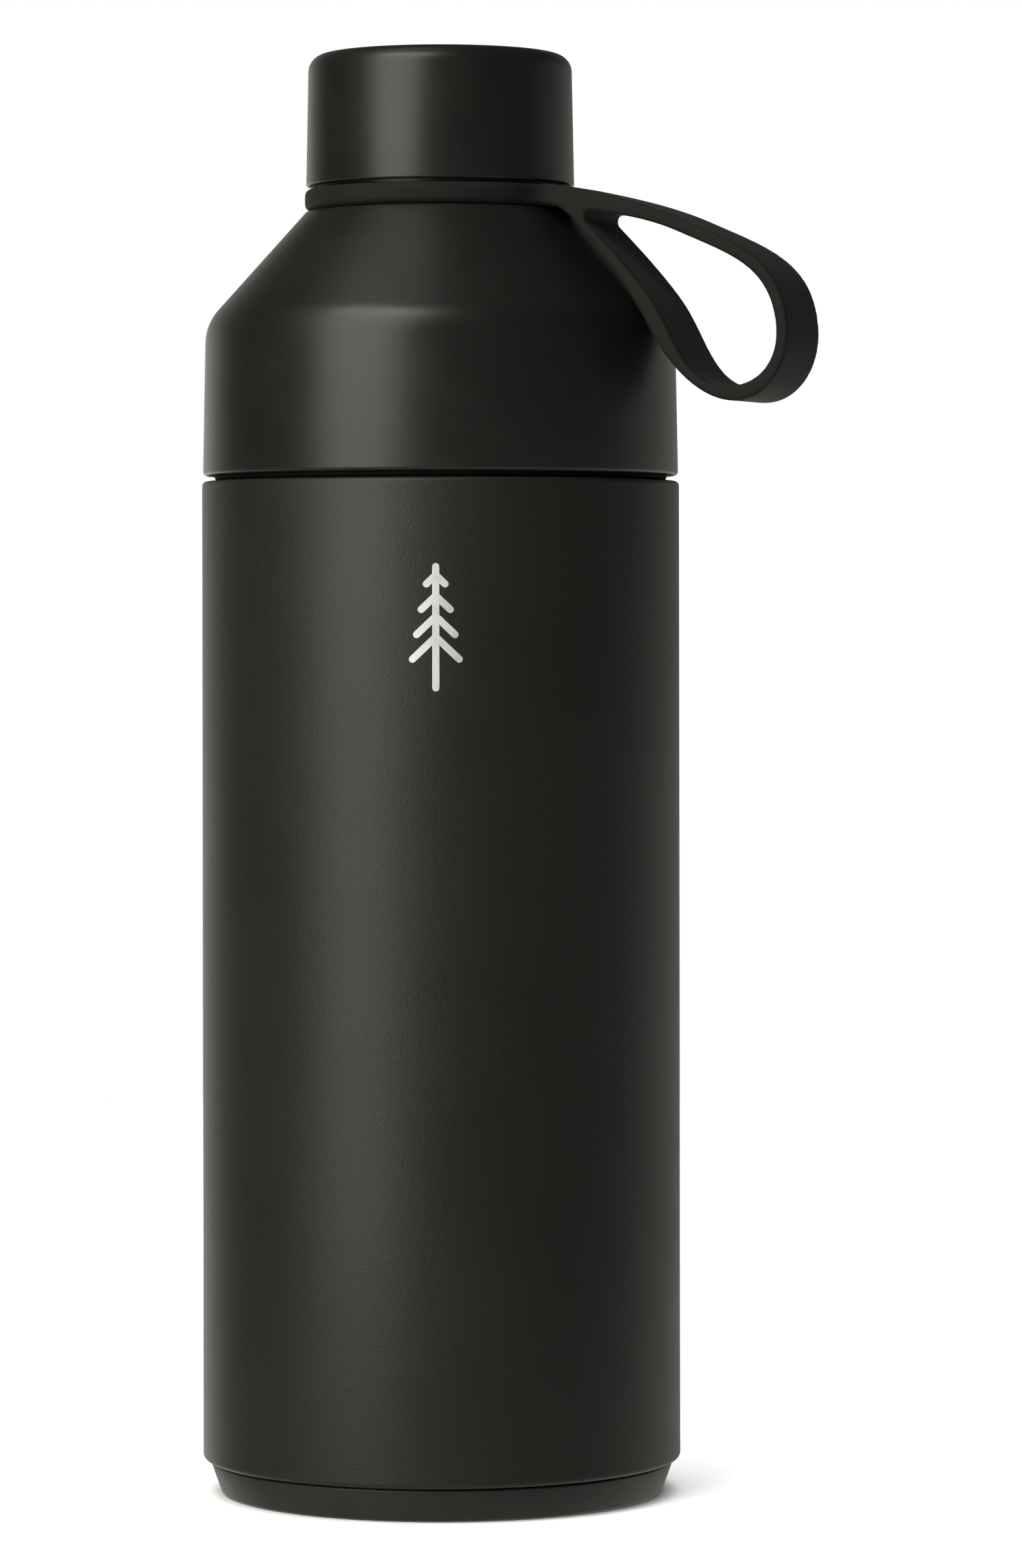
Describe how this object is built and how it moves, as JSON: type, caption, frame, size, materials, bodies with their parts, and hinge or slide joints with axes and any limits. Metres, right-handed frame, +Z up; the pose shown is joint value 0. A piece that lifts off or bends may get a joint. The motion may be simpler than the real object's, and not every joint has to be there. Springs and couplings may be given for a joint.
{
  "type": "insulated water bottle",
  "caption": "Double-walled steel water bottle with a screw-on top section, a screw cap over a narrow drinking spout and a silicone carry loop.",
  "frame": {"origin": "centre of the flat underside of the base, on the bottle's axis", "axes": "+Z up along the bottle's axis; -Y is the front, which carries the mark; the carry loop points to +X, 25 degrees towards the front"},
  "size_m": [0.1153, 0.09, 0.2707],
  "materials": {
    "powder_coat": "matte black powder coat with a fine grain",
    "satin_plastic": "smooth satin black moulding",
    "black_plastic": "matte black moulding",
    "silicone": "soft matte black silicone",
    "brushed_steel": "brushed stainless steel",
    "getter_metal": "dull sintered grey metal",
    "foam": "pale closed-cell foam"
  },
  "bodies": {
    "flask": {"outer_shell": "powder_coat", "inner_liner": "brushed_steel", "outer_base": "brushed_steel", "vacuum_seal": "getter_metal", "getter": "getter_metal", "getter_clip": "brushed_steel", "base_boot": "black_plastic", "base_pad": "silicone"},
    "joint_seal": {"joint_gasket": "silicone"},
    "top_section": {"shoulder_shell": "satin_plastic", "shoulder_foam": "foam", "shoulder_liner": "brushed_steel", "joint_collar": "black_plastic", "spout_neck": "black_plastic"},
    "cap_seal": {"cap_gasket": "silicone"},
    "cap": {"cap_shell": "satin_plastic", "cap_foam": "foam", "cap_liner": "black_plastic"},
    "loop_ring": {"carry_ring": "silicone"},
    "loop_strap": {"carry_loop": "silicone"}
  },
  "joints": [
    {"name": "top_rise", "type": "slide", "parent": "flask", "child": "joint_seal", "axis": [0, 0, 1], "range_m": [0, 0.01201]},
    {"name": "top_turn", "type": "hinge", "parent": "joint_seal", "child": "top_section", "pos_m": [0, 0, 0.19], "axis": [0, 0, 1], "range_deg": [0, 540]},
    {"name": "cap_rise", "type": "slide", "parent": "top_section", "child": "cap_seal", "axis": [0, 0, 1], "range_m": [0, 0.01201]},
    {"name": "cap_turn", "type": "hinge", "parent": "cap_seal", "child": "cap", "pos_m": [0, 0, 0.246], "axis": [0, 0, 1], "range_deg": [0, 540]},
    {"name": "loop_swivel", "type": "hinge", "parent": "top_section", "child": "loop_ring", "pos_m": [0, 0, 0.243], "axis": [0, 0, 1], "continuous": true},
    {"name": "loop_flex", "type": "hinge", "parent": "loop_ring", "child": "loop_strap", "pos_m": [0.02574, -0.012, 0.2428], "axis": [-0.4226, -0.9063, 0], "range_deg": [-2, 70], "stiffness_Nm_per_rad": 0.06, "springref_deg": 1.29}
  ],
  "couplings": [
    {"joint": "top_rise", "follows": "top_turn", "m_per_rad": 0.0012732},
    {"joint": "cap_rise", "follows": "cap_turn", "m_per_rad": 0.0012732}
  ]
}
